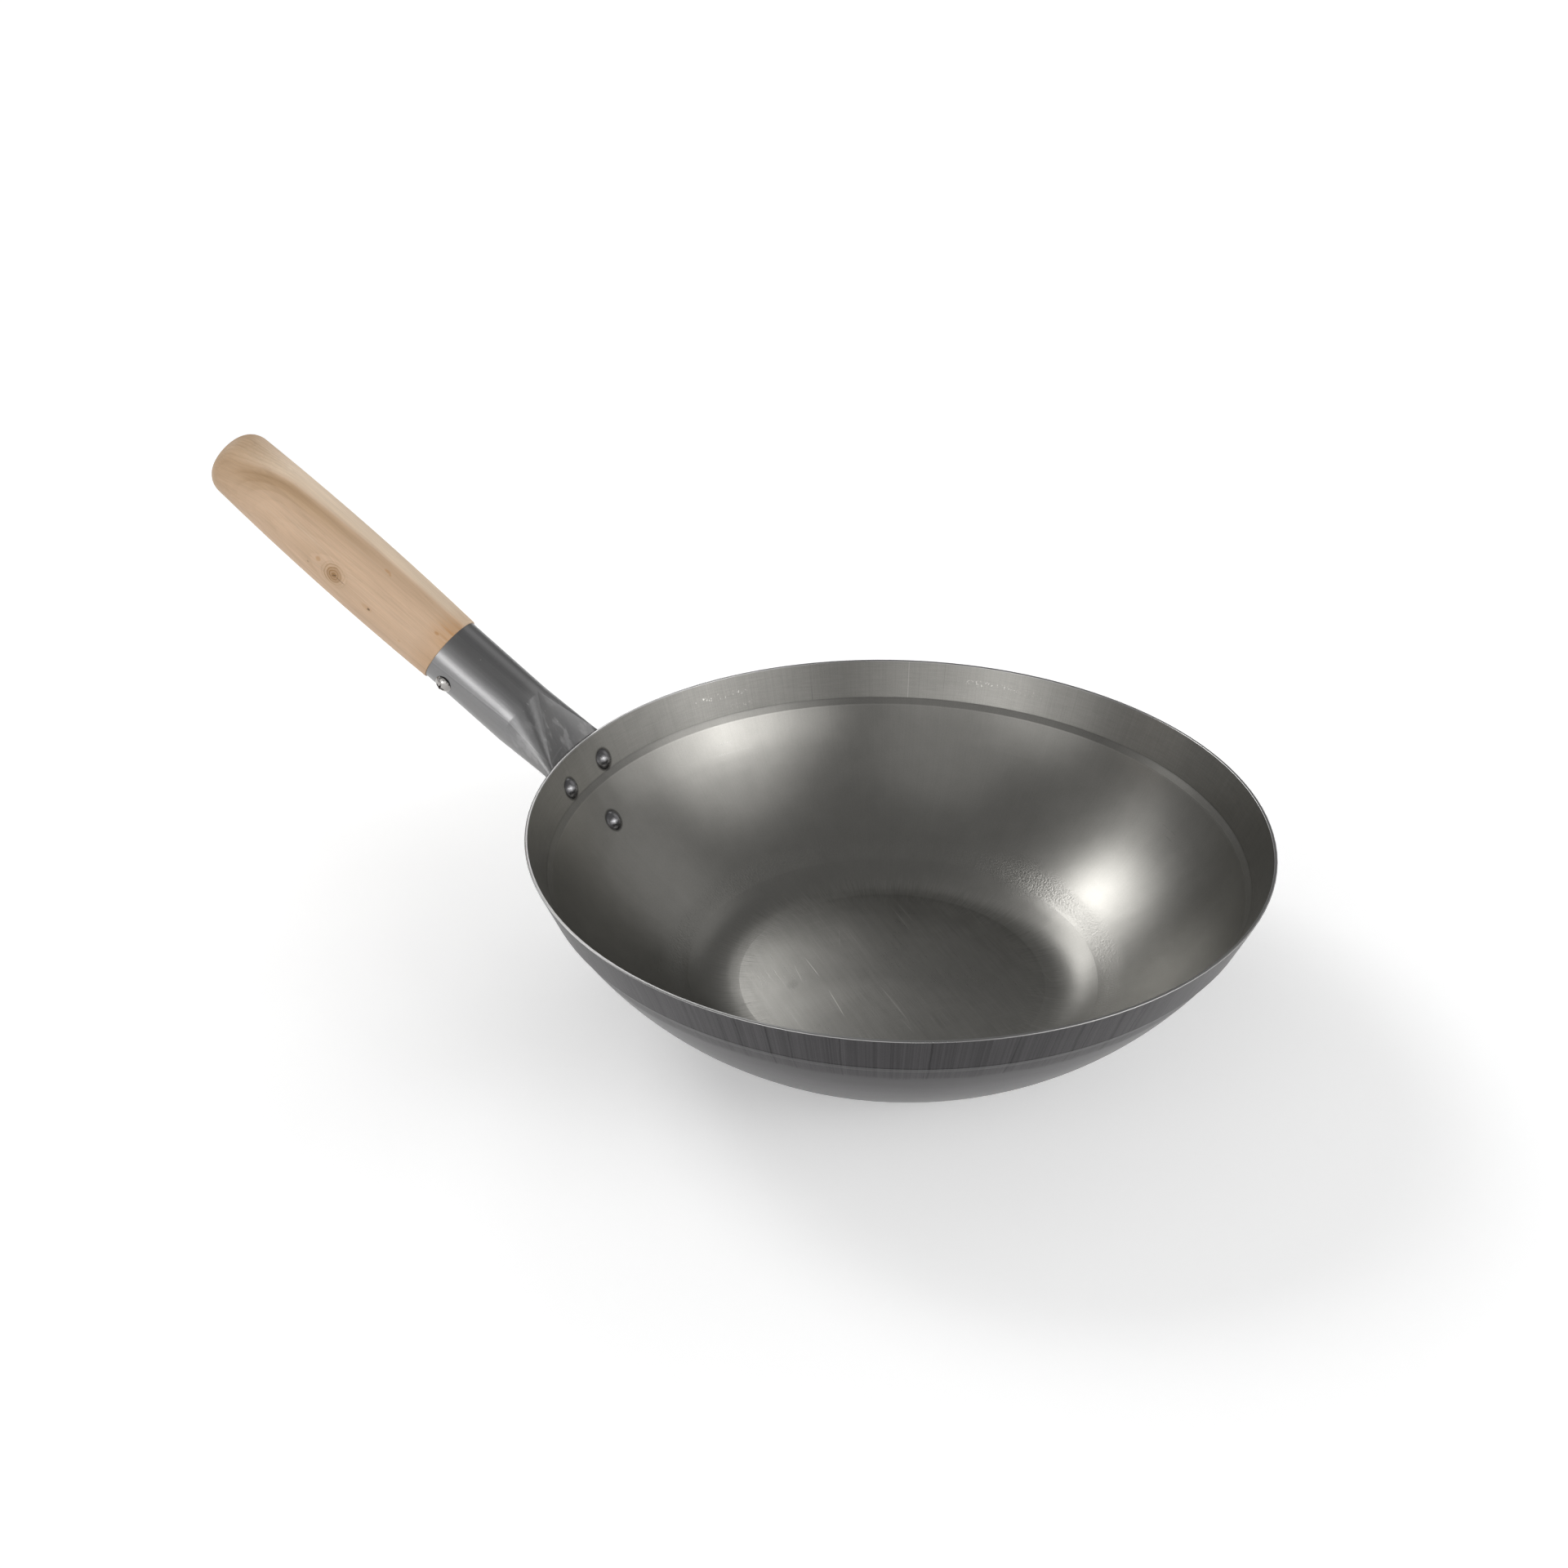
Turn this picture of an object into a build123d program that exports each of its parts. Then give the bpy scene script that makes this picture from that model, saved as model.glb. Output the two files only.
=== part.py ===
from build123d import *
import os
from math import asin, cos, degrees, sin, sqrt

# Carbon steel wok: a spun bowl, a steel tube riveted to its wall, and a turned wooden grip.
# Millimetres. The origin is the centre of the underside of the base, +Z is up.
# The handle points along -X.

# Bowl
sheet = 1.5  # thickness of the steel
rim_radius = 175.0  # outside edge of the rim
bowl_height = 93.5  # from the table to the rim
base_radius = 75.7  # flat part of the floor
knuckle_radius = 50.0  # curve between the floor and the wall
wall_radius = 171.4  # curve of the wall
ledge_drop = 3.1  # small step between the wall and the band
ledge_run = 2.2
band_drop = 18.8  # height of the straight band under the rim
band_run = 7.8  # how far the band leans outwards
rim_edge_radius = 0.5  # sanded edges of the rim

# Handle line. A station is a distance along it from where it passes the rim's radius
handle_rise = 35.4  # degrees above the table
handle_drop = 6.2  # from the rim down to the start of the line

# Handle tube, pressed flat where it lies on the bowl
tube_radius = 17.6
tube_sheet = 1.5
mouth_station = 83.5  # open end that takes the grip
press_station = 34.4  # where the tube stops being round
press_flat = 0.9  # width of the pressed faces at their tips
plate_width = 52.0  # the tube pressed flat
plate_thickness = 2 * tube_sheet
plate_margin = 12.0  # plate left round the lower rivet
plate_step = 0.25  # the plate is this much thinner and narrower than the fold above it
fold_drop = 4.5  # from the rim down the band to the fold
fold_gap = 0.3  # slit between the two layers at the fold
fold_overlap = 1.0  # how far the plate runs up into the fold
fold_bite = 0.5  # how far the fold reaches into the bowl before it is cut to its curve

# Rivets, head inside the bowl and tail on the plate
rivet_radius = 2.5
rivet_head_radius = 5.4
rivet_head_height = 3.0
rivet_tail_radius = 4.2
rivet_tail_height = 1.6
rivet_ease = 0.08  # flat seats touch the curved sheet at their edges only
upper_rivet_drop = 14.4  # from the rim down the band
upper_rivet_pitch = 34.0  # between the upper two
lower_rivet_drop = 18.6  # from the ledge down the wall

# Grip, turned wood with a tenon in the tube. Its length runs from its shoulder at the mouth
grip_length = 150.4
belly_share = 0.4  # place of the thickest part
shoulder_step = 0.75  # how far the shoulder stands over the tube
belly_swell = 1.1  # how much thicker than the shoulder it gets
tip_taper = 2.2  # and how much thinner again at the far end
tip_rounding = 10.0
shoulder_rounding = 0.5
tenon_play = 0.15
tenon_gap = 3.0  # from the tenon's end to the pressed part of the tube
tenon_chamfer = 1.5

# Round-headed screw through the tube into the tenon
screw_inset = 10.9  # from the mouth
screw_turn = 110.0  # degrees round the tube from its top, on the -Y side
screw_radius = 2.1
screw_length = 14.0
screw_point = 3.0
screw_play = 0.05
screw_head_radius = 4.7
screw_head_height = 2.9
recess_length = 4.6
recess_width = 1.0
recess_depth = 1.4

overrun = 20.0  # how far cutters run past what they cut

os.makedirs("parts", exist_ok=True)

# Inside profile of the bowl on the handle's side. The wall's curve starts at the ledge and
# runs into the knuckle without a corner, which gives its centre.
rim_slant = sheet * sqrt(1 + (band_run / band_drop) ** 2)
rim_point = Vector(rim_slant - rim_radius, bowl_height)
band_foot = rim_point + Vector(band_run, -band_drop)
ledge_foot = band_foot + Vector(ledge_run, -ledge_drop)
knuckle_center = Vector(-base_radius, sheet + knuckle_radius)
reach = ledge_foot - knuckle_center
center_distance = wall_radius - knuckle_radius
along = (center_distance**2 - wall_radius**2 + reach.length**2) / (2 * reach.length)
above = sqrt(center_distance**2 - along**2)
toward_ledge = reach.normalized()
wall_center = knuckle_center + toward_ledge * along + Vector(toward_ledge.Y, -toward_ledge.X) * above
wall_top_normal = (ledge_foot - wall_center).normalized()
knuckle_normal = (knuckle_center - wall_center).normalized()
ledge_direction = (band_foot - ledge_foot).normalized()
band_direction = (rim_point - band_foot).normalized()


def outward(direction):
    """Normal of a stretch of the profile that runs up towards the rim."""
    return Vector(-direction.Y, direction.X)


def mitre(corner, below, above, outset):
    """Where two stretches meet, given their normals, once both are set out."""
    return corner + (below + above) * (outset / (1 + below.dot(above)))


def filled_form(outset):
    """Half section of a solid bowl whose skin lies outset away from the inside surface."""
    knuckle_foot = Vector(knuckle_center.X, sheet - outset)
    knuckle_top = wall_center + knuckle_normal * (wall_radius + outset)
    wall_top = mitre(ledge_foot, wall_top_normal, outward(ledge_direction), outset)
    ledge_top = mitre(band_foot, outward(ledge_direction), outward(band_direction), outset)
    rim = rim_point - Vector(rim_slant * outset / sheet, 0)
    with BuildSketch(Plane.XZ) as form:
        with BuildLine():
            Line((0, knuckle_foot.Y), knuckle_foot)
            RadiusArc(knuckle_foot, knuckle_top, knuckle_radius + outset)
            RadiusArc(knuckle_top, wall_top, wall_radius + outset)
            Polyline(wall_top, ledge_top, rim, (0, rim.Y), (0, knuckle_foot.Y))
        make_face()
    return form.sketch


# Planes on the inside surface of the bowl, square to it and facing outwards
across = Vector(0, 1, 0)


def wall_plane(place, direction, turn=0):
    """Plane at a place of the profile, turned about the bowl's axis."""
    normal = outward(direction)
    seat = Plane(origin=(place.X, 0, place.Y), x_dir=across, z_dir=(normal.X, 0, normal.Y))
    return Plane(Rotation(0, 0, turn) * seat.location)


upper_place = rim_point - band_direction * upper_rivet_drop
upper_turn = degrees(asin(upper_rivet_pitch / 2 / abs(upper_place.X)))
lower_slope = asin(-wall_top_normal.X) - lower_rivet_drop / wall_radius
lower_direction = Vector(-cos(lower_slope), sin(lower_slope))
lower_place = wall_center + outward(lower_direction) * wall_radius
rivet_seats = [
    wall_plane(upper_place, band_direction, -upper_turn),
    wall_plane(upper_place, band_direction, upper_turn),
    wall_plane(lower_place, lower_direction),
]

# Plane across the band where the pressed tube leaves it, its origin on the outside surface
fold_place = rim_point - band_direction * fold_drop
fold_seat = wall_plane(fold_place, band_direction)
fold_plane = Plane(
    origin=fold_seat.origin + fold_seat.z_dir * sheet,
    x_dir=-across,
    z_dir=(band_direction.X, 0, band_direction.Y),
)
fold_bend = abs(fold_place.X) / band_direction.Y + sheet

# Planes of the handle: square to its line, with Y to the top of the tube, and along its line,
# with X as the station and Y as the radius
axis_start = Vector(-rim_radius, 0, bowl_height - handle_drop)
axis_direction = Vector(-1, 0, 0).rotate(Axis.Y, handle_rise)
handle_axis = Axis(origin=axis_start, direction=axis_direction)
handle_plane = Plane(origin=axis_start, x_dir=-across, z_dir=axis_direction)
turning_plane = Plane(origin=axis_start, x_dir=axis_direction, z_dir=across)

# Plane that touches the tube where the screw goes in, facing away from it
screw_seat = Plane(
    handle_plane.offset(mouth_station - screw_inset).location
    * Rotation(0, 0, 90 - screw_turn)
    * Pos(tube_radius, 0, 0)
    * Rotation(0, 90, 0)
)


def round_section(radius):
    """The tube's circle, with a narrow flat at its top and bottom where the pressed faces end."""
    flat_angle = degrees(asin(press_flat / 2 / radius))
    with BuildSketch(handle_plane.offset(press_station)) as section:
        with BuildLine():
            far_side = CenterArc((0, 0), radius, 90 + flat_angle, 180 - 2 * flat_angle)
            near_side = CenterArc((0, 0), radius, 270 + flat_angle, 180 - 2 * flat_angle)
            Line(near_side @ 1, far_side @ 0)
            Line(far_side @ 1, near_side @ 0)
        make_face()
    return section.sketch


def pressed_section(width, near, far):
    """The slot that the tube becomes at the fold, its long sides near and far from the bowl."""
    half = width / 2
    near_height = fold_bend - sqrt((fold_bend + near) ** 2 - half**2)
    far_height = fold_bend - sqrt((fold_bend + far) ** 2 - half**2)
    with BuildSketch(fold_plane) as section:
        with BuildLine():
            ThreePointArc((half, near_height), (0, -near), (-half, near_height))
            Line((-half, near_height), (-half, far_height))
            ThreePointArc((-half, far_height), (0, -far), (half, far_height))
            Line((half, far_height), (half, near_height))
        make_face()
    return section.sketch


# Bowl, spun from one disc of sheet and pierced for the rivets
with BuildPart() as wok_bowl:
    add(filled_form(sheet))
    revolve(axis=Axis.Z)
    add(filled_form(0))
    revolve(axis=Axis.Z, mode=Mode.SUBTRACT)
    fillet(wok_bowl.edges().group_by(Axis.Z)[-1], radius=rim_edge_radius)
    for seat in rivet_seats:
        with BuildSketch(seat):
            Circle(rivet_radius)
        extrude(amount=overrun, both=True, mode=Mode.SUBTRACT)
wok_bowl.part.label = "wok_bowl"
export_step(wok_bowl.part, "parts/wok_bowl.step")

# Outside form of the bowl, to seat the tube on
with BuildPart() as bowl_core:
    add(filled_form(sheet))
    revolve(axis=Axis.Z)

# Flat end of the tube: a skin on the bowl, cut to an outline that narrows round the lower rivet
with BuildPart() as plate:
    add(filled_form(sheet + plate_thickness))
    revolve(axis=Axis.Z)
    outline_plane = Plane(origin=fold_plane.origin, x_dir=-across, z_dir=fold_seat.z_dir)
    upper_point = outline_plane.to_local_coords(rivet_seats[0].origin)
    lower_point = outline_plane.to_local_coords(rivet_seats[2].origin)
    with BuildSketch(outline_plane.offset(-overrun)):
        with Locations((0, fold_overlap)):
            Rectangle(
                plate_width - 2 * plate_step,
                fold_overlap - 2 * upper_point.Y,
                align=(Align.CENTER, Align.MAX),
            )
        with Locations((0, lower_point.Y)):
            Circle(plate_margin)
        make_hull()
    extrude(amount=2 * overrun, mode=Mode.INTERSECT)

# Hollow of the tube, closing to a slit at the fold
with BuildPart() as tube_bore:
    slit_middle = plate_thickness / 2
    slit_width = plate_width - 2 * tube_sheet
    add(pressed_section(slit_width, slit_middle - fold_gap / 2, slit_middle + fold_gap / 2))
    add(round_section(tube_radius - tube_sheet))
    loft(ruled=True)
    add(round_section(tube_radius - tube_sheet))
    extrude(amount=mouth_station - press_station + overrun, dir=axis_direction)

# Handle tube: round at the grip, pressed to the fold, then flat on the bowl
with BuildPart() as handle_tube:
    add(pressed_section(plate_width, -fold_bite, plate_thickness + plate_step))
    add(round_section(tube_radius))
    loft(ruled=True)
    add(round_section(tube_radius))
    extrude(amount=mouth_station - press_station, dir=axis_direction)
    add(tube_bore.part, mode=Mode.SUBTRACT)
    add(plate.part)
    add(bowl_core.part, mode=Mode.SUBTRACT)
    for seat in rivet_seats:
        with BuildSketch(seat):
            Circle(rivet_radius)
        extrude(amount=overrun, mode=Mode.SUBTRACT)
    with BuildSketch(screw_seat):
        Circle(screw_radius + screw_play)
    extrude(amount=-tube_radius, mode=Mode.SUBTRACT)
handle_tube.part.label = "handle_tube"
export_step(handle_tube.part, "parts/handle_tube.step")

# Grip, turned about the handle's line: tenon, shoulder, belly and rounded end
shoulder_radius = tube_radius + shoulder_step
belly_radius = shoulder_radius + belly_swell
tip_radius = belly_radius - tip_taper
tenon_radius = tube_radius - tube_sheet - tenon_play
tenon_end = press_station + tenon_gap
grip_end = mouth_station + grip_length
with BuildPart() as wooden_grip:
    with BuildSketch(turning_plane) as outline:
        with BuildLine():
            Polyline(
                (grip_end, 0),
                (tenon_end, 0),
                (tenon_end, tenon_radius - tenon_chamfer),
                (tenon_end + tenon_chamfer, tenon_radius),
                (mouth_station, tenon_radius),
                (mouth_station, shoulder_radius),
            )
            ThreePointArc(
                (mouth_station, shoulder_radius),
                (mouth_station + grip_length * belly_share, belly_radius),
                (grip_end, tip_radius),
            )
            Line((grip_end, tip_radius), (grip_end, 0))
        make_face()
        shoulder_corner = outline.vertices().sort_by_distance((mouth_station, shoulder_radius))[0]
        fillet(shoulder_corner, radius=shoulder_rounding)
        tip_corner = outline.vertices().sort_by_distance((grip_end, tip_radius))[0]
        fillet(tip_corner, radius=tip_rounding)
    revolve(axis=handle_axis)
    with BuildSketch(screw_seat):
        Circle(screw_radius + screw_play)
    extrude(amount=-screw_length, mode=Mode.SUBTRACT)
wooden_grip.part.label = "wooden_grip"
export_step(wooden_grip.part, "parts/wooden_grip.step")


def dome_bend(radius, height):
    """Radius of the curve of a dome."""
    return (radius**2 + height**2) / (2 * height)


# Screw, made upright: a domed head with a cross recess, a shank and a point
with BuildPart() as screw_blank:
    with BuildSketch(Plane.XZ):
        with BuildLine():
            RadiusArc(
                (0, screw_head_height),
                (screw_head_radius, 0),
                dome_bend(screw_head_radius, screw_head_height),
            )
            Polyline(
                (screw_head_radius, 0),
                (screw_radius, 0),
                (screw_radius, screw_point - screw_length),
                (0, -screw_length),
                (0, screw_head_height),
            )
        make_face()
    revolve(axis=Axis.Z)
    with BuildSketch(Plane.XY.offset(screw_head_height)):
        Rectangle(recess_length, recess_width)
        Rectangle(recess_width, recess_length)
    extrude(amount=-recess_depth, mode=Mode.SUBTRACT)

with BuildPart() as grip_screw:
    with Locations(screw_seat.location):
        add(screw_blank.part)
grip_screw.part.label = "grip_screw"
export_step(grip_screw.part, "parts/grip_screw.step")

# Rivet, made upright: the head is below, the tail above, and the sheets lie between them
with BuildPart() as rivet_blank:
    head_seat = -rivet_ease
    tail_seat = sheet + plate_thickness + rivet_ease
    with BuildSketch(Plane.XZ):
        with BuildLine():
            RadiusArc(
                (0, head_seat - rivet_head_height),
                (rivet_head_radius, head_seat),
                -dome_bend(rivet_head_radius, rivet_head_height),
            )
            Polyline(
                (rivet_head_radius, head_seat),
                (rivet_radius, head_seat),
                (rivet_radius, tail_seat),
                (rivet_tail_radius, tail_seat),
            )
            RadiusArc(
                (rivet_tail_radius, tail_seat),
                (0, tail_seat + rivet_tail_height),
                -dome_bend(rivet_tail_radius, rivet_tail_height),
            )
            Line((0, tail_seat + rivet_tail_height), (0, head_seat - rivet_head_height))
        make_face()
    revolve(axis=Axis.Z)

with BuildPart() as handle_rivets:
    for seat in rivet_seats:
        with Locations(seat.location):
            add(rivet_blank.part)
handle_rivets.part.label = "handle_rivets"
export_step(handle_rivets.part, "parts/handle_rivets.step")
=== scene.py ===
import math

import bpy
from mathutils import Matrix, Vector


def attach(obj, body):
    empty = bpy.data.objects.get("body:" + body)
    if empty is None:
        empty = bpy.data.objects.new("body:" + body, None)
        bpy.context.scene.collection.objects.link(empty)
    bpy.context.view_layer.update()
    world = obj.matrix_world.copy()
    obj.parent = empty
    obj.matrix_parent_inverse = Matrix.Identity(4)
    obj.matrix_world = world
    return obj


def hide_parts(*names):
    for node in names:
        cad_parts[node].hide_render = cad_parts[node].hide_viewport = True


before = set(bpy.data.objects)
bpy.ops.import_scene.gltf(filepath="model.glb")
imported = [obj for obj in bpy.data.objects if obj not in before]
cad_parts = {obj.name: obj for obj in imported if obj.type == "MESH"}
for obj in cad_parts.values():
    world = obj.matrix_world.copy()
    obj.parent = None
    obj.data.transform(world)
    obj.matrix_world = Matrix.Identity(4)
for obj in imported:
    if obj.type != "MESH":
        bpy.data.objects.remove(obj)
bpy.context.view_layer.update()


# Bowl: carbon steel sheet spun over a form, with a flat floor, a curved wall and an upright band.
# Its inside is satin from sanding, with straight scuffs on the floor, an orange-peel ring where the
# sheet stretched, and fine lines up the band. Outside, coarse dark draw lines run down the band.
class Signal:
    """A socket of a finish. Sums written with it add Math nodes."""

    def __init__(self, finish, socket):
        self.finish = finish
        self.socket = socket

    def math(self, operation, *others):
        inputs = dict(enumerate((self, *others)))
        return self.finish.node("ShaderNodeMath", {"operation": operation}, inputs)

    def __add__(self, other):
        return self.math("ADD", other)

    def __mul__(self, other):
        return self.math("MULTIPLY", other)

    def __sub__(self, other):
        return self.math("SUBTRACT", other)

    def __rsub__(self, other):
        return self * -1 + other

    def __truediv__(self, other):
        return self.math("DIVIDE", other)

    def __rtruediv__(self, other):
        return self.math("POWER", -1) * other

    def __pow__(self, other):
        return self.math("POWER", other)

    def __abs__(self):
        return self.math("ABSOLUTE")

    __radd__ = __add__
    __rmul__ = __mul__


class Finish:
    """A material of one shader, with the nodes that vary it over the surface."""

    def __init__(self, name, constants):
        self.material = bpy.data.materials.new(name)
        self.material.use_nodes = True
        self.nodes = self.material.node_tree.nodes
        self.links = self.material.node_tree.links
        self.shader = self.nodes["Principled BSDF"]
        for socket, value in constants.items():
            self.shader.inputs[socket].default_value = value
        self.point = self.node("ShaderNodeTexCoord", {}, {}, "Object")

    def node(self, kind, settings, inputs, output=0):
        made = self.nodes.new(kind)
        for name, value in settings.items():
            setattr(made, name, value)
        for name, value in inputs.items():
            if isinstance(value, Signal):
                self.links.new(value.socket, made.inputs[name])
            else:
                made.inputs[name].default_value = value
        return Signal(self, made.outputs[output])

    def parts(self, vector):
        return [self.node("ShaderNodeSeparateXYZ", {}, {0: vector}, i) for i in range(3)]

    def vector(self, x, y, z):
        return self.node("ShaderNodeCombineXYZ", {}, {0: x, 1: y, 2: z})

    def along(self, vector, direction):
        settings = {"operation": "DOT_PRODUCT"}
        return self.node("ShaderNodeVectorMath", settings, {0: vector, 1: direction}, "Value")

    def noise(self, vector, scale=1.0, detail=2.0, roughness=0.5):
        inputs = {"Vector": vector, "Scale": scale, "Detail": detail, "Roughness": roughness}
        return self.node("ShaderNodeTexNoise", {}, inputs, "Fac")

    def step(self, value, low, high):
        inputs = {"Value": value, "From Min": low, "From Max": high}
        return self.node("ShaderNodeMapRange", {"interpolation_type": "SMOOTHSTEP"}, inputs)

    def line(self, value, half_width):
        """One where the value is zero, falling to nothing at half_width to either side."""
        return 1 - self.step(abs(value), 0, half_width)

    def blend(self, share, first, second):
        return self.node("ShaderNodeMix", {"data_type": "RGBA"}, {0: share, 6: first, 7: second}, 2)

    def shade(self, colour, factor):
        """A colour made lighter or darker by a factor."""
        settings = {"data_type": "RGBA", "blend_type": "MULTIPLY"}
        inputs = {0: 1.0, 6: colour, 7: self.vector(factor, factor, factor)}
        return self.node("ShaderNodeMix", settings, inputs, 2)

    def show(self, colour=None, roughness=None, height=None):
        """Feeds the shader. The height is in metres."""
        if colour is not None:
            self.links.new(colour.socket, self.shader.inputs["Base Color"])
        if roughness is not None:
            self.links.new(roughness.socket, self.shader.inputs["Roughness"])
        if height is not None:
            bump = self.node("ShaderNodeBump", {}, {"Strength": 1.0, "Distance": 1.0, "Height": height})
            self.links.new(bump.socket, self.shader.inputs["Normal"])


def grey(level, warmth=0.0):
    return (level * (1 + warmth), level, level * (1 - warmth), 1)


def coat(node, finish):
    """Gives a CAD node the finish."""
    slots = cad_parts[node].data.materials
    slots.clear()
    slots.append(finish.material)


band_foot_height = 0.0747
ledge_foot_height = 0.0716
bowl_height = 0.0935
floor_radius = 0.0757

bowl_steel = Finish("bowl_steel", {"Metallic": 1.0})
x, y, z = bowl_steel.parts(bowl_steel.point)
radius = (x * x + y * y) ** 0.5
around_x = x / radius
around_y = y / radius
surface = bowl_steel.node("ShaderNodeTexCoord", {}, {}, "Normal")
facing_x, facing_y, facing_z = bowl_steel.parts(surface)
outside = bowl_steel.step(facing_x * around_x + facing_y * around_y - facing_z, -0.05, 0.05)
inside = 1 - outside
on_band = bowl_steel.step(z, band_foot_height - 0.0004, band_foot_height + 0.0004)
# The ledge is darkened with painted shade, more on its outside
ledge_painted_shade = bowl_steel.step(z, ledge_foot_height - 0.0003, ledge_foot_height + 0.0003) * (1 - on_band)

# Satin grain all over, with faint turning lines and slow changes of tone
grain = bowl_steel.noise(bowl_steel.point, scale=2600, detail=2)
cloud = bowl_steel.noise(bowl_steel.point, scale=14, detail=3)
mottle = bowl_steel.noise(bowl_steel.point, scale=110, detail=3)
profile = radius + z
turning = bowl_steel.noise(bowl_steel.vector(profile * 1400, around_x * 2.5, around_y * 2.5), detail=3)
drawing = bowl_steel.noise(bowl_steel.vector(around_x * 230, around_y * 230, profile * 14), detail=3)

# Straight scuffs on the floor, one set long and one set faint across it, and a few real scratches
scuff_run = bowl_steel.along(bowl_steel.point, (0.72, -0.69, 0))
scuff_cross = bowl_steel.along(bowl_steel.point, (0.69, 0.72, 0))
on_floor = inside * (1 - bowl_steel.step(radius, floor_radius - 0.004, floor_radius + 0.006))
fine_scuffs = bowl_steel.noise(bowl_steel.vector(scuff_cross * 2400, scuff_run * 60, 0.0), detail=2)
long_scuffs = bowl_steel.noise(bowl_steel.vector(scuff_cross * 420, scuff_run * 14, 3.0), detail=1)
crossing_scuffs = bowl_steel.noise(bowl_steel.vector(scuff_run * 1500, scuff_cross * 40, 7.0), detail=1)
scuff_share = bowl_steel.step(bowl_steel.noise(bowl_steel.point, scale=20, detail=2), 0.35, 0.65)


def scratch(start_x, start_y, end_x, end_y, width):
    """A fine straight scratch on the floor, between two places in metres."""
    run = Vector((end_x - start_x, end_y - start_y, 0))
    length = run.length
    run.normalize()
    along_scratch = bowl_steel.along(bowl_steel.point, run) - run.dot(Vector((start_x, start_y, 0)))
    side = Vector((-run.y, run.x, 0))
    off_scratch = bowl_steel.along(bowl_steel.point, side) - side.dot(Vector((start_x, start_y, 0)))
    start = bowl_steel.step(along_scratch, 0, length * 0.3)
    end = bowl_steel.step(along_scratch, length * 0.7, length)
    return bowl_steel.line(off_scratch, width) * start * (1 - end)


scratches = bowl_steel.step(long_scuffs, 0.72, 0.77) * 0.3
for start_x, start_y, end_x, end_y, width, strength in (
    (-0.0255, -0.0218, -0.0077, -0.0419, 0.00034, 1.0),
    (-0.0469, -0.0011, -0.0317, -0.0154, 0.00030, 1.0),
    (-0.0500, -0.0080, -0.0380, -0.0230, 0.00025, 0.6),
    (0.0150, -0.0300, 0.0260, -0.0395, 0.00025, 0.4),
    (-0.0400, 0.0300, -0.0330, 0.0130, 0.00025, 0.3),
):
    scratches = scratches + scratch(start_x, start_y, end_x, end_y, width) * strength
scratches = scratches * on_floor


def patch(middle_x, middle_y, half_x, half_y):
    """A soft oval on the floor of the bowl. Its place and half sizes are in metres."""
    across_x = (x - middle_x) / half_x
    across_y = (y - middle_y) / half_y
    return 1 - bowl_steel.step(across_x * across_x + across_y * across_y, 0.0, 1.0)


# A small dark smudge, and a painted highlight: the lower-left side of the floor made lighter in colour
smudge = inside * patch(-0.0425, -0.0260, 0.0035, 0.0050) * mottle
painted_highlight_patch = on_floor * patch(-0.055, -0.030, 0.060, 0.050) * scuff_share

# Orange-peel ring over the knuckle, and a brushed fringe round the floor's edge
peel_zone = inside * bowl_steel.step(radius, 0.098, 0.105) * (1 - bowl_steel.step(radius, 0.108, 0.115))
peel = bowl_steel.noise(bowl_steel.point, scale=900, detail=1.5)
fringe_zone = inside * bowl_steel.step(radius, 0.062, 0.075) * (1 - bowl_steel.step(radius, 0.082, 0.094))
fringe = bowl_steel.noise(bowl_steel.vector(around_x * 120, around_y * 120, radius * 90), detail=2)

# Fine upright lines inside the band with fainter ones across, a few dark ones, one light one,
# and rows of bright specks where the roller caught
hairs = bowl_steel.noise(bowl_steel.vector(around_x * 380, around_y * 380, z * 26), detail=3)
cross_hairs = bowl_steel.noise(bowl_steel.vector(around_x * 14, around_y * 14, z * 1500), detail=2)
inside_band = inside * on_band
line_places = bowl_steel.noise(bowl_steel.vector(around_x * 30, around_y * 30, z * 0.8), detail=1)
dark_lines = bowl_steel.line(line_places - 0.56, 0.0022) * inside_band
light_line = bowl_steel.line(bowl_steel.along(bowl_steel.point, (0.951, 0.309, 0)), 0.0004)
light_line = light_line * inside_band * bowl_steel.step(y, 0.02, 0.03)
speck_noise = bowl_steel.noise(bowl_steel.vector(around_x * 170, around_y * 170, z * 900), detail=1)
speck_dots = bowl_steel.step(speck_noise, 0.60, 0.72)


def speck_row(turn, spread, height):
    """A patch of specks inside the band, at degrees round it and a height in metres."""
    turn = math.radians(turn)
    facing = around_x * math.cos(turn) + around_y * math.sin(turn)
    narrow = math.cos(math.radians(spread))
    return bowl_steel.step(facing, narrow, (1 + narrow) / 2) * bowl_steel.line(z - height, 0.0022)


specks = speck_row(144.2, 5.5, 0.0850)
for turn, spread, height, strength in (
    (91.8, 6.0, 0.0848, 1.0), (84, 2.0, 0.0846, 0.6), (149, 1.5, 0.0852, 0.7), (142, 5, 0.0785, 0.35)
):
    specks = specks + speck_row(turn, spread, height) * strength
specks = specks * speck_dots * inside_band

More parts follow.
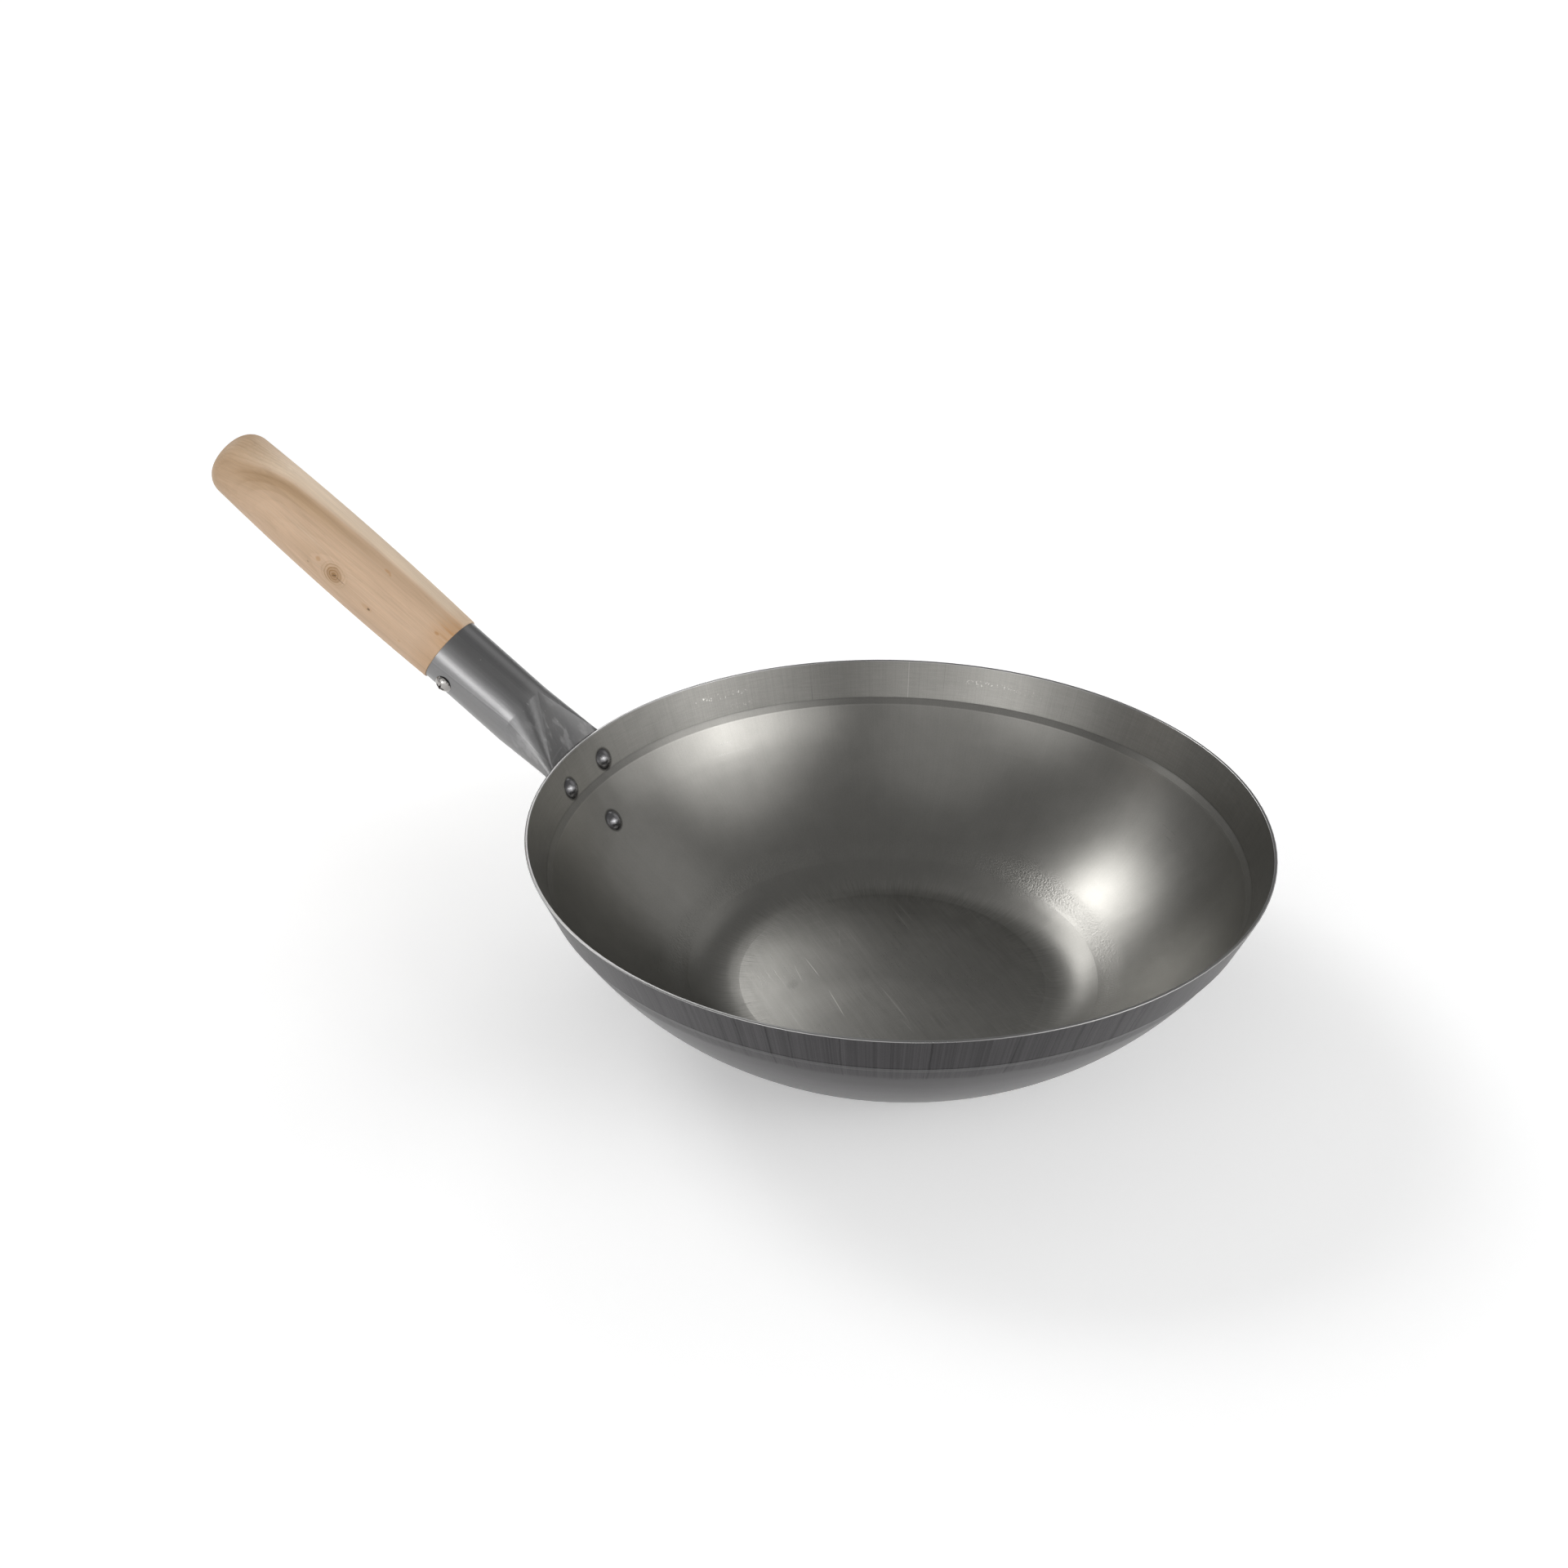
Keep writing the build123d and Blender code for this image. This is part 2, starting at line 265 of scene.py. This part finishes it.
# Coarse draw lines outside, over the band and a little below the ledge
draw_foot = 0.0645
draw_wobble = bowl_steel.noise(bowl_steel.vector(around_x * 9, around_y * 9, 0.4), detail=3)
draw_zone = outside * bowl_steel.step(z + (draw_wobble - 0.5) * 0.004, draw_foot - 0.0012, draw_foot + 0.0012)
draw_fine = bowl_steel.noise(bowl_steel.vector(around_x * 260, around_y * 260, z * 7), detail=3)
draw_coarse = bowl_steel.noise(bowl_steel.vector(around_x * 70, around_y * 70, z * 4), detail=2)
draw_tone = bowl_steel.step(draw_coarse, 0.3, 0.7) * 0.30 + bowl_steel.step(draw_fine, 0.3, 0.7) * 0.38
draw_places = bowl_steel.noise(bowl_steel.vector(around_x * 40, around_y * 40, z * 1.2), detail=1)
draw_cuts = bowl_steel.line(draw_places - 0.60, 0.006) + bowl_steel.line(draw_places - 0.44, 0.003) * 0.6
sway = (bowl_steel.noise(bowl_steel.vector(around_x * 20, around_y * 20, z * 90), detail=2) - 0.5) * 0.0016


def draw_line(turn, width):
    """A dark draw line outside, at degrees round the bowl. Its width is in metres."""
    turn = math.radians(turn)
    toward = bowl_steel.along(bowl_steel.point, (math.cos(turn), math.sin(turn), 0))
    across = bowl_steel.along(bowl_steel.point, (-math.sin(turn), math.cos(turn), 0))
    return bowl_steel.line(across + sway, width) * bowl_steel.step(toward, 0, 0.05)


for turn, width in (
    (-91.5, 0.0006), (-87.1, 0.0005), (-84.0, 0.0006), (-77.2, 0.0006), (-65.2, 0.0007),
    (-44.8, 0.0011), (-43.2, 0.0005), (-38.5, 0.0018), (-35.2, 0.0008), (-34.4, 0.0008),
):
    draw_cuts = draw_cuts + draw_line(turn, width)
draw_cuts = draw_cuts.math("MINIMUM", 1) * draw_zone

# Fold lines at both ends of the ledge, painted inside as a ring of painted shadow and a ring of painted
# highlight, and the sanded rim
fold_shadow = inside * bowl_steel.line(z - band_foot_height, 0.0008)
fold_painted_highlight = inside * bowl_steel.line(z - (ledge_foot_height - 0.0004), 0.0005)
rim_edge = bowl_steel.step(z, bowl_height - 0.0006, bowl_height - 0.0003)

# Painted shade: a dark ring on the sheet round the rivet heads, where shade falls at their foot
rivet_places = ((-0.16700, -0.01700, 0.0802), (-0.16700, 0.01700, 0.0802), (-0.15330, 0, 0.0560))


def nearest_rivet(finish):
    """Distance from the nearest rivet's seat."""
    distances = [
        finish.node("ShaderNodeVectorMath", {"operation": "DISTANCE"}, {0: finish.point, 1: place}, "Value")
        for place in rivet_places
    ]
    return distances[0].math("MINIMUM", distances[1]).math("MINIMUM", distances[2])


rivet_painted_shade = inside * (1 - bowl_steel.step(nearest_rivet(bowl_steel), 0.0056, 0.0068))

tone = 1 + (cloud - 0.5) * 0.18 + (mottle - 0.5) * 0.12 + (grain - 0.5) * 0.28
tone = tone + inside * (drawing - 0.5) * 0.10 + on_floor * (long_scuffs - 0.5) * 0.16
scuffs = (fine_scuffs - 0.5) * 0.40 + (crossing_scuffs - 0.5) * 0.14
tone = tone + on_floor * scuff_share * scuffs + scratches * 0.8 - smudge * 0.35 + painted_highlight_patch * 0.25
tone = tone + fringe_zone * (0.05 + (fringe - 0.5) * 0.50)
tone = tone + inside_band * ((hairs - 0.5) * 0.24 + (cross_hairs - 0.5) * 0.20)
tone = tone - dark_lines * 0.25 + light_line * 0.35 + specks * 1.2
tone = tone - ledge_painted_shade * (0.16 + outside * 0.22) - fold_shadow * 0.14 + fold_painted_highlight * 0.08 - rivet_painted_shade * 0.6
tone = tone - draw_zone * (0.48 - draw_tone) * 0.80 - draw_cuts * 0.42
sanded_steel = (0.237, 0.232, 0.217, 1)
# The outside is raw steel, made darker still with painted shade for the shadowed floor it reflects
raw_steel_and_painted_shade = (0.064, 0.061, 0.064, 1)
steel_colour = bowl_steel.blend(outside, sanded_steel, raw_steel_and_painted_shade)
steel_colour = bowl_steel.shade(steel_colour, tone)
steel_colour = bowl_steel.blend(rim_edge, steel_colour, grey(0.34, 0.01))
steel_roughness = 0.30 + (cloud - 0.5) * 0.10 + (turning - 0.5) * 0.05 + inside_band * 0.06 + draw_zone * 0.06
steel_roughness = steel_roughness + on_floor * ((fine_scuffs - 0.5) * 0.12 + scuff_share * 0.03)
steel_roughness = steel_roughness + peel_zone * 0.03 + fringe_zone * 0.02 - rim_edge * 0.08
relief = grain * 8e-6 + turning * inside * 5e-6 + drawing * inside * 4e-6
relief = relief + on_floor * fine_scuffs * 9e-6 - scratches * 8e-6
relief = relief + peel_zone * peel * 120e-6 + fringe_zone * fringe * 60e-6
relief = relief + inside_band * (hairs * 9e-6 + cross_hairs * 3e-6)
relief = relief + draw_zone * draw_fine * 18e-6 - draw_cuts * 20e-6
bowl_steel.show(steel_colour, steel_roughness, relief)
coat("wok_bowl", bowl_steel)


# Handle tube: welded steel tube, pressed flat at one end and riveted on. Drawn lines and a fine
# weld seam run along it, handling marks dull the flat facet, and small nicks catch the light.
handle_rise = math.radians(35.4)
axis_start = Vector((-0.175, 0, 0.0873))
axis_run = Vector((-math.cos(handle_rise), 0, math.sin(handle_rise)))
axis_top = Vector((math.sin(handle_rise), 0, math.cos(handle_rise)))


def handle_places(finish):
    """Station along the handle, offset to its near side and offset to its top, in metres."""
    station = finish.along(finish.point, axis_run) - axis_start.dot(axis_run)
    top = finish.along(finish.point, axis_top) - axis_start.dot(axis_top)
    x, y, z = finish.parts(finish.point)
    return station, y * -1, top


tube_steel = Finish("tube_steel", {"Metallic": 1.0})
station, near, top = handle_places(tube_steel)
tube_grain = tube_steel.noise(tube_steel.point, scale=2200, detail=2)
tube_cloud = tube_steel.noise(tube_steel.vector(near * 60, top * 60, station * 22), detail=4)
drawn_fine = tube_steel.noise(tube_steel.vector(near * 1500, top * 1500, station * 25), detail=3)
drawn_coarse = tube_steel.noise(tube_steel.vector(near * 300, top * 300, station * 9), detail=2)
seam_place = top - 0.0024 - (0.0655 - station) * 0.067
seam = tube_steel.line(seam_place, 0.00035) * tube_steel.step(near, 0.005, 0.008)
seam_shadow = tube_steel.line(seam_place + 0.0008, 0.0006) * tube_steel.step(near, 0.005, 0.008)
pressed = 1 - tube_steel.step(station, 0.020, 0.034)
smudge_noise = tube_steel.noise(tube_steel.vector(near * 220, top * 220, station * 90), detail=3)
smudges = tube_steel.step(smudge_noise, 0.52, 0.68) * pressed
nick_noise = tube_steel.noise(tube_steel.vector(near * 700, top * 700, station * 420), detail=1)
nicks = tube_steel.step(nick_noise, 0.77, 0.81)
tube_tone = 1 + (tube_cloud - 0.5) * 0.24 + (tube_grain - 0.5) * 0.10 + (drawn_fine - 0.5) * 0.16
tube_tone = tube_tone + (drawn_coarse - 0.5) * 0.12 + smudges * 0.3 + nicks * 0.6
tube_tone = tube_tone + seam * 0.16 - seam_shadow * 0.08
tube_colour = tube_steel.blend(tube_cloud, (0.240, 0.240, 0.245, 1), grey(0.240, 0.015))
tube_colour = tube_steel.shade(tube_colour, tube_tone)
tube_roughness = 0.31 + (tube_cloud - 0.5) * 0.14 + (drawn_fine - 0.5) * 0.08 + smudges * 0.12
tube_relief = tube_grain * 5e-6 + drawn_fine * 7e-6 + drawn_coarse * 10e-6 + seam * 5e-6 - seam_shadow * 5e-6
tube_steel.show(tube_colour, tube_roughness, tube_relief)

# The bend where the tube leaves its round shape is soft, so a copy is cut near it and smoothed
bpy.ops.object.select_all(action="DESELECT")
tube_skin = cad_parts["handle_tube"].copy()
tube_skin.data = tube_skin.data.copy()
tube_skin.name = "tube_skin"
bpy.context.scene.collection.objects.link(tube_skin)
bpy.context.view_layer.objects.active = tube_skin
tube_skin.select_set(True)
bpy.ops.object.mode_set(mode="EDIT")
bpy.ops.mesh.select_all(action="SELECT")
bpy.ops.mesh.remove_doubles(threshold=1e-6)
for cut_station in (0.050, 0.042, 0.022, 0.012, 0.005):
    bpy.ops.mesh.select_all(action="SELECT")
    bpy.ops.mesh.bisect(plane_co=axis_start + axis_run * cut_station, plane_no=axis_run)
bpy.ops.object.mode_set(mode="OBJECT")
bpy.ops.mesh.customdata_custom_splitnormals_clear()
bpy.ops.object.shade_smooth_by_angle(angle=math.radians(24))
tube_skin.data.materials.clear()
tube_skin.data.materials.append(tube_steel.material)
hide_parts("handle_tube")
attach(tube_skin, "root")


# Rivets: three solid steel rivets set cold. Their heads are smooth domes inside the bowl, and the
# hammered tails sit on the flat of the tube outside. They are a little darker than the sheet.
rivet_steel = Finish("rivet_steel", {"Metallic": 1.0})
rivet_grain = rivet_steel.noise(rivet_steel.point, scale=1700, detail=3)
rivet_dents = rivet_steel.noise(rivet_steel.point, scale=420, detail=1)
# Painted shade darkens the outer edge of each head
rivet_edge_painted_shade = rivet_steel.step(nearest_rivet(rivet_steel), 0.0045, 0.0056)
rivet_tone = 1 + (rivet_grain - 0.5) * 0.2 + (rivet_dents - 0.5) * 0.2 - rivet_edge_painted_shade * 0.42
rivet_steel.show(
    rivet_steel.shade(rivet_steel.blend(rivet_dents, (0.215, 0.210, 0.222, 1), grey(0.20)), rivet_tone),
    0.26 + (rivet_grain - 0.5) * 0.1 + rivet_edge_painted_shade * 0.1,
    rivet_grain * 6e-6 + rivet_dents * 24e-6,
)
coat("handle_rivets", rivet_steel)


# Grip: pale hardwood turned on a lathe, sanded and left bare. The tree's rings run nearly along it
# as long arches and swerve towards the end, where the fibre lies aslant. A small knot with a check
# in it lies on the near side, and the wood has darkened to orange where it meets the tube.
wood = Finish("grip_wood", {"Specular IOR Level": 0.35})
station, near, top = handle_places(wood)
turn = near.math("ARCTAN2", top)
crest_turn = math.radians(83)
out_of_crest = near * math.sin(crest_turn) + top * math.cos(crest_turn)
off_crest = top * math.sin(crest_turn) - near * math.cos(crest_turn)
wander = wood.noise(wood.vector(near * 40, top * 40, station * 16), detail=3)

# The knot lies on the crest line, and the rings close round it
along_knot = station - 0.1482
knot_reach = ((along_knot * 0.85) ** 2 + off_crest**2) ** 0.5
on_near_side = wood.step(near, 0.004, 0.010)
knot_lift = on_near_side / ((1 + (knot_reach * 170) ** 2) ** 2)

# Growth rings round a pith 45 mm under the crest, slanting a little and swerving at the far end
pith_depth = 0.045
swerve = wood.step(station, 0.190, 0.228)
ring_radius = ((out_of_crest + pith_depth) ** 2 + off_crest**2) ** 0.5
ring_radius = ring_radius - (station - 0.150) * 0.03 - swerve * 0.0050
ring_radius = ring_radius + knot_lift * 0.004 + (wander - 0.5) * 0.0022
ring_depth = (ring_radius - pith_depth) * 1000
ring_phase = (ring_depth * 0.62).math("FRACT")
late_wood = wood.step(ring_phase, 0.25, 0.9) * (1 - wood.step(ring_phase, 0.9, 1.0))
ring_strength = wood.step(wander, 0.35, 0.65)

# Fibre, fine and coarse, with pale threads, and short pores
aslant = off_crest + wood.step(station, 0.192, 0.250) * 0.014 + knot_lift * off_crest * 1.2
fibre = wood.noise(wood.vector(out_of_crest * 1700, aslant * 1700, station * 42), detail=3)
streaks = wood.noise(wood.vector(out_of_crest * 380, aslant * 380, station * 10), detail=3)
thread_noise = wood.noise(wood.vector(out_of_crest * 900, aslant * 900, station * 14 + 5), detail=1)
threads = wood.step(thread_noise, 0.60, 0.74)
blotches = wood.noise(wood.vector(near * 70, aslant * 90, station * 22), detail=3)
pore_noise = wood.noise(wood.vector(out_of_crest * 2100, aslant * 2100, station * 240), detail=1)
pores = wood.step(pore_noise, 0.66, 0.76)

# One broad dark band of heartwood between two rings, strongest before the far end
band_growth = 0.30 + wood.step(station, 0.120, 0.198) * 0.70
band_fade = (1 - wood.step(station, 0.204, 0.224) * 0.7) * wood.step(off_crest, -0.002, 0.008)
dark_band = wood.step(ring_depth, 7.8, 11.2) * (1 - wood.step(ring_depth, 11.0, 17.0))
dark_band = dark_band * band_growth * band_fade
far_end = wood.step(station, 0.200, 0.232)
sapwood = (1 - wood.step(ring_depth, 6.5, 10.0)) * (1 - far_end * 0.75)

# The knot has rings of its own, a dark heart, and a check running along the grain to the tube
knot_wobble = wood.noise(wood.vector(near * 260, top * 260, station * 260), detail=2)
knot_ring = knot_reach * 1000 + (knot_wobble - 0.5) * 1.6
knot_fade = on_near_side * (1 - wood.step(knot_ring, 3.0, 8.0))
knot_far_side = 0.45 + wood.step(along_knot, -0.002, 0.003) * 0.55
knot_arcs = wood.line((knot_ring * 0.70).math("FRACT") - 0.5, 0.30) * knot_fade * knot_far_side
knot_core = on_near_side * (1 - wood.step(knot_ring, 2.0, 5.8))
knot_heart = on_near_side * (1 - wood.step(knot_ring, 0.3, 1.5))
check_line = wood.line(off_crest + 0.0001 + (knot_wobble - 0.5) * 0.0008, 0.00030)
check_line = check_line * wood.step(along_knot, -0.0080, -0.0060) * (1 - wood.step(along_knot, 0.0004, 0.0012))
heart_split = wood.line(off_crest + along_knot * 1.1 + 0.0004, 0.00045) * (1 - wood.step(knot_ring, 1.0, 1.7))
check = (check_line * 0.8 + heart_split) * on_near_side

# Orange-brown wood beside the tube, in streaks
beside_tube = 1 - wood.step(station, 0.084, 0.099)
orange_place = wood.line(turn - 0.52, 0.62)
orange_share = beside_tube * (0.28 + orange_place * wood.step(streaks, 0.38, 0.62) * 0.72)


def fleck(place, round_from_top, length, width):
    """A small dark mark on the grip, longer along the grain. Its sizes are in metres."""
    along_mark = (station - place) / length
    across_mark = (turn - math.radians(round_from_top)) * 0.0191 / width
    return 1 - wood.step(along_mark * along_mark + across_mark * across_mark, 0.1, 1.0)


pin_knots = fleck(0.1242, 88.7, 0.0011, 0.0008) + fleck(0.1633, 96.7, 0.0009, 0.0006) * 0.45
stains = fleck(0.1256, 88.5, 0.0042, 0.0016) * 0.35 + fleck(0.1594, 80, 0.0019, 0.0016) * 0.55
stains = stains + fleck(0.1292, 24, 0.0024, 0.0010) * 0.55 + fleck(0.0902, 45, 0.0018, 0.0009) * 0.6
stains = stains + fleck(0.1028, 96.7, 0.0010, 0.0007) * 0.4 + fleck(0.1270, 26, 0.0010, 0.0007) * 0.5

mid_wood = (0.635, 0.450, 0.306, 1)
sap_wood = (0.77, 0.632, 0.480, 1)
heart_wood = (0.36, 0.228, 0.115, 1)
orange_wood = (0.50, 0.272, 0.118, 1)
knot_wood = (0.36, 0.205, 0.088, 1)
split_wood = (0.09, 0.045, 0.02, 1)
wood_colour = wood.blend(sapwood * 0.75 + threads * 0.18, mid_wood, sap_wood)
dark_wood = dark_band * 0.72 + far_end * 0.48 + late_wood * ring_strength * 0.18
wood_colour = wood.blend(dark_wood, wood_colour, heart_wood)
wood_colour = wood.blend(orange_share * 0.95 + stains, wood_colour, orange_wood)
wood_colour = wood.blend(knot_core * 0.62 + knot_arcs * 0.85 + knot_heart * 0.35, wood_colour, knot_wood)
wood_colour = wood.blend(check * 0.75 + pin_knots * 0.75, wood_colour, split_wood)
wood_tone = 1 + (fibre - 0.5) * 0.30 + (streaks - 0.5) * 0.20 + (blotches - 0.5) * 0.26 - pores * 0.10
wood_colour = wood.shade(wood_colour, wood_tone)
wood.show(
    wood_colour,
    0.54 + (fibre - 0.5) * 0.16 + (blotches - 0.5) * 0.08 - knot_core * 0.06,
    fibre * 9e-6 + streaks * 12e-6 - pores * 12e-6 - check * 140e-6 - pin_knots * 60e-6 + knot_arcs * 12e-6,
)
coat("wooden_grip", wood)


# Grip screw: a round-headed wood screw with a cross recess, nickel plated and bright.
# It goes through the near side of the tube into the tenon.
nickel = Finish("screw_nickel", {"Metallic": 1.0})
nickel_haze = nickel.noise(nickel.point, scale=900, detail=2)
nickel.show(
    nickel.shade(nickel.blend(nickel_haze, grey(0.42, 0.03), grey(0.36, 0.05)), 0.92 + nickel_haze * 0.16),
    0.12 + nickel_haze * 0.12,
    nickel_haze * 6e-6,
)
coat("grip_screw", nickel)


# Studio: a wide sheet of pale paper under the wok, large soft lamps to the left and the right, and
# weaker ones for the white walls of the room. The camera stands where the photo's stood.
camera = bpy.data.cameras.new("camera")
camera.lens = 41.04
camera.sensor_width = 36
camera_object = bpy.data.objects.new("camera", camera)
camera_object.location = (0.2410, -0.6921, 0.5160)
view = Vector((-0.3471, 0.8028, -0.4848))
camera_object.rotation_euler = view.to_track_quat("-Z", "Y").to_euler()
bpy.context.scene.collection.objects.link(camera_object)
bpy.context.scene.camera = camera_object

bpy.ops.object.select_all(action="DESELECT")
bpy.ops.mesh.primitive_plane_add(size=60, location=(0, 0, 0))
floor = bpy.context.object
floor.name = "floor"
paper = Finish("paper", {"Roughness": 0.9, "Base Color": (0.94, 0.94, 0.94, 1), "Emission Strength": 1.0})
rays = ("Is Camera Ray", "Is Glossy Ray", "Is Transmission Ray")
seen = [paper.node("ShaderNodeLightPath", {}, {}, ray) for ray in rays]
seen_white = (seen[0] + seen[1] + seen[2]).math("MINIMUM", 1)
paper_glow = paper.blend(seen_white, grey(0), grey(0.33))
paper.links.new(paper_glow.socket, paper.shader.inputs["Emission Color"])
floor.data.materials.append(paper.material)


def softbox(name, turn, rise, width, strength):
    """A far round lamp, its way and width in degrees. A strength of 1 shows a colour as written."""
    lamp = bpy.data.lights.new(name, "SUN")
    lamp.angle = math.radians(width)
    lamp.energy = strength * math.pi
    lamp_object = bpy.data.objects.new(name, lamp)
    turn, rise = math.radians(turn), math.radians(rise)
    beam = Vector((-math.cos(turn) * math.cos(rise), -math.sin(turn) * math.cos(rise), -math.sin(rise)))
    lamp_object.rotation_euler = beam.to_track_quat("-Z", "Y").to_euler()
    bpy.context.scene.collection.objects.link(lamp_object)


# Each lamp's turn, rise and width in degrees, and its strength
for name, turn, rise, width, strength in (
    ("left_softbox", 160, 42, 18, 0.124),
    ("left_softbox_side", 172, 38, 14, 0.080),
    ("left_softbox_foot", 162, 30, 14, 0.034),
    ("left_wall", 150, 28, 15, 0.020),
    ("left_near_wall", 185, 28, 18, 0.020),
    ("left_low_wall", 200, 10, 22, 0.018),
    ("right_softbox", -4, 28, 14, 0.078),
    ("right_softbox_side", -20, 31, 14, 0.047),
    ("right_softbox_edge", -36, 33, 16, 0.031),
    ("right_softbox_foot", 12, 24, 18, 0.040),
    ("right_wall", 0, 30, 45, 0.130),
    ("right_low_wall", 0, 12, 20, 0.034),
    ("right_back_wall", 30, 11, 24, 0.045),
    ("front_left_wall", 240, 20, 35, 0.090),
    ("front_left_low_wall", 259, 9, 22, 0.140),
    ("front_wall", 285, 12, 30, 0.088),
    ("front_right_wall", 330, 12, 30, 0.037),
    ("front_ceiling", 270, 45, 40, 0.040),
    ("back_wall", 62, 30, 35, 0.038),
):
    softbox(name, turn, rise, width, strength)

# A small near panel behind the handle, seen as the light part of the floor of the bowl
panel = bpy.data.lights.new("back_panel", "AREA")
panel.shape = "DISK"
panel.size = 0.22
panel_distance = 0.8
panel.energy = 0.085 * (math.pi * panel_distance) ** 2
panel_object = bpy.data.objects.new("back_panel", panel)
panel_way = Vector((-0.492, 0.629, 0.602))
panel_object.location = panel_way * panel_distance
panel_object.rotation_euler = (-panel_way).to_track_quat("-Z", "Y").to_euler()
panel_object.visible_camera = False
bpy.context.scene.collection.objects.link(panel_object)

world = bpy.data.worlds.new("studio")
bpy.context.scene.world = world
world.use_nodes = True
# The room's far wall is white to the camera, and lights the wok as a dim one
ray = world.node_tree.nodes.new("ShaderNodeLightPath")
wall = world.node_tree.nodes.new("ShaderNodeMix")
wall.data_type = "RGBA"
room_light = 0.275
wall.inputs[6].default_value = grey(room_light)
wall.inputs[7].default_value = grey(1.0)
world.node_tree.links.new(ray.outputs["Is Camera Ray"], wall.inputs[0])
world.node_tree.links.new(wall.outputs[2], world.node_tree.nodes["Background"].inputs["Color"])
world.node_tree.nodes["Background"].inputs["Strength"].default_value = 1.0
bpy.context.scene.view_settings.view_transform = "Standard"
